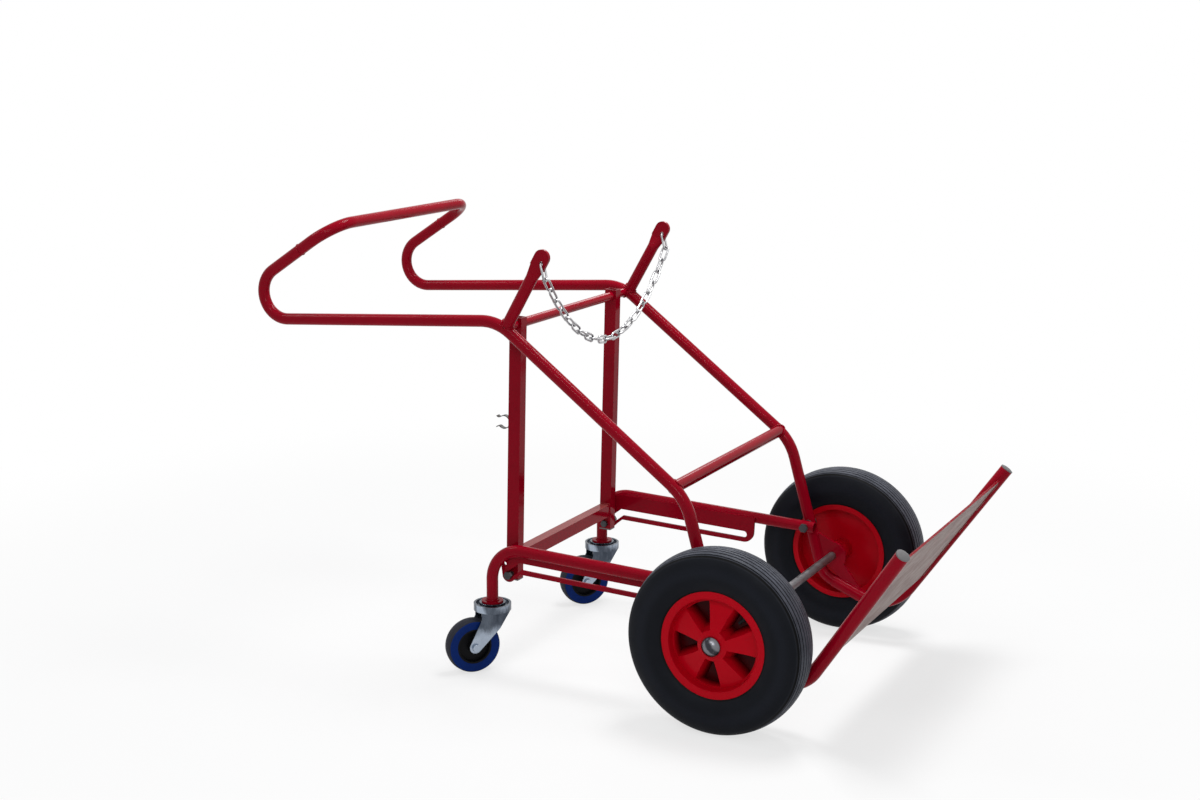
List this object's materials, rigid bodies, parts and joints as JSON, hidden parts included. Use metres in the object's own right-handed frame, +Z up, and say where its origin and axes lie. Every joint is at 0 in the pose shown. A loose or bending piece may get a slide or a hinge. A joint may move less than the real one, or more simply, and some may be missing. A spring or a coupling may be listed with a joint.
{
  "type": "gas cylinder cart",
  "caption": "Tilted tube-frame cart for oxygen and fuel gas cylinders, with big pneumatic wheels, a folding castor prop, looped handles, a toe plate and a retaining chain.",
  "frame": {"origin": "on the floor under the middle of the cart's length and width", "axes": "+X towards the toe plate, +Y to the left side as seen by the person who pushes, +Z up"},
  "size_m": [1.6196, 0.8812, 1.0136],
  "materials": {
    "frame_paint": "gloss red enamel, chipped and scuffed at the edges",
    "arm_paint": "gloss red enamel, rubbed on the outer faces",
    "prop_paint": "gloss red enamel, worn where the arms fold against it",
    "toe_plate_paint": "red enamel, scraped along the lip",
    "dark_plug": "dull black moulding",
    "axle_steel": "turned steel",
    "zinc": "bright zinc plate, dulled",
    "hub_cap_grey": "dull grey pressed cap",
    "tyre_rubber": "matt black rubber",
    "rim_red": "gloss red moulding",
    "valve_rubber": "black rubber",
    "chain_zinc": "bright zinc plate",
    "castor_blue": "blue elastic rubber, grey where it runs",
    "castor_centre": "black nylon",
    "bolt_steel": "dull steel",
    "clip_steel": "spring steel, plated"
  },
  "bodies": {
    "frame": {"side_tube_left": "frame_paint", "side_tube_right": "frame_paint", "handle_hoop": "frame_paint", "pivot_bar": "frame_paint", "knee_crossbar": "frame_paint", "toe_tube_left": "frame_paint", "toe_tube_right": "frame_paint", "toe_plugs": "dark_plug", "toe_plate": "toe_plate_paint", "axle_gusset_left": "frame_paint", "axle_gusset_right": "frame_paint", "axle": "axle_steel", "axle_spacers": "axle_steel", "axle_washers": "axle_steel", "hub_caps": "hub_cap_grey", "cylinder_arm_left": "frame_paint", "cylinder_arm_right": "frame_paint", "arm_pivot_bolts": "bolt_steel", "arm_pivot_washers": "bolt_steel"},
    "chain": {"retaining_chain": "chain_zinc", "chain_end_links": "chain_zinc"},
    "prop": {"upright_left": "prop_paint", "upright_right": "prop_paint", "prop_cross_tube": "prop_paint", "slot_bolts": "bolt_steel", "upright_plugs": "dark_plug", "spring_clip": "clip_steel", "clip_screw": "clip_steel"},
    "wheel_right": {"wheel_tyre_right": "tyre_rubber", "wheel_rim_right": "rim_red", "wheel_bearings_right": "axle_steel", "tyre_valve_right": "valve_rubber"},
    "castor_arm_right": {"castor_arm_right": "arm_paint", "castor_flange_right": "arm_paint", "slot_plate_right": "arm_paint", "slot_nut_right": "bolt_steel", "castor_cap_right": "zinc", "castor_kingpin_right": "zinc"},
    "castor_fork_right": {"castor_fork_right": "zinc", "castor_race_right": "zinc", "castor_bolt_right": "zinc"},
    "castor_wheel_right": {"castor_centre_right": "castor_centre", "castor_tyre_right": "castor_blue"},
    "wheel_left": {"wheel_tyre_left": "tyre_rubber", "wheel_rim_left": "rim_red", "wheel_bearings_left": "axle_steel", "tyre_valve_left": "valve_rubber"},
    "castor_arm_left": {"castor_arm_left": "arm_paint", "castor_flange_left": "arm_paint", "slot_plate_left": "arm_paint", "slot_nut_left": "bolt_steel", "castor_cap_left": "zinc", "castor_kingpin_left": "zinc"},
    "castor_fork_left": {"castor_fork_left": "zinc", "castor_race_left": "zinc", "castor_bolt_left": "zinc"},
    "castor_wheel_left": {"castor_centre_left": "castor_centre", "castor_tyre_left": "castor_blue"}
  },
  "joints": [
    {"name": "prop_fold", "type": "hinge", "parent": "frame", "child": "prop", "pos_m": [-0.15465, 0, 0.8], "axis": [0, -1, 0], "range_deg": [0, 38]},
    {"name": "wheel_spin_right", "type": "hinge", "parent": "frame", "child": "wheel_right", "pos_m": [0.40735, -0.3826, 0.2], "axis": [0, 1, 0], "continuous": true},
    {"name": "castor_arm_fold_right", "type": "hinge", "parent": "frame", "child": "castor_arm_right", "pos_m": [0.34829, -0.2763, 0.272], "axis": [0, 1, 0], "range_deg": [0, 35]},
    {"name": "castor_swivel_right", "type": "hinge", "parent": "castor_arm_right", "child": "castor_fork_right", "pos_m": [-0.20071, -0.2763, 0.152], "axis": [0, 0, 1], "continuous": true},
    {"name": "castor_spin_right", "type": "hinge", "parent": "castor_fork_right", "child": "castor_wheel_right", "pos_m": [-0.23221, -0.31384, 0.0625], "axis": [-0.766, 0.6428, 0], "continuous": true},
    {"name": "wheel_spin_left", "type": "hinge", "parent": "frame", "child": "wheel_left", "pos_m": [0.40735, 0.3826, 0.2], "axis": [0, 1, 0], "continuous": true},
    {"name": "castor_arm_fold_left", "type": "hinge", "parent": "frame", "child": "castor_arm_left", "pos_m": [0.34829, 0.2763, 0.272], "axis": [0, 1, 0], "range_deg": [0, 35]},
    {"name": "castor_swivel_left", "type": "hinge", "parent": "castor_arm_left", "child": "castor_fork_left", "pos_m": [-0.20071, 0.2763, 0.152], "axis": [0, 0, 1], "continuous": true},
    {"name": "castor_spin_left", "type": "hinge", "parent": "castor_fork_left", "child": "castor_wheel_left", "pos_m": [-0.23221, 0.23876, 0.0625], "axis": [-0.766, 0.6428, 0], "continuous": true},
    {"name": "chain_swing", "type": "hinge", "parent": "frame", "child": "chain", "pos_m": [-0.05566, 0, 0.95001], "axis": [0, -1, 0], "range_deg": [-10, 60]}
  ],
  "couplings": [
    {"joint": "castor_arm_fold_right", "follows": "prop_fold", "ratio": 0.921},
    {"joint": "castor_arm_fold_left", "follows": "prop_fold", "ratio": 0.921}
  ]
}
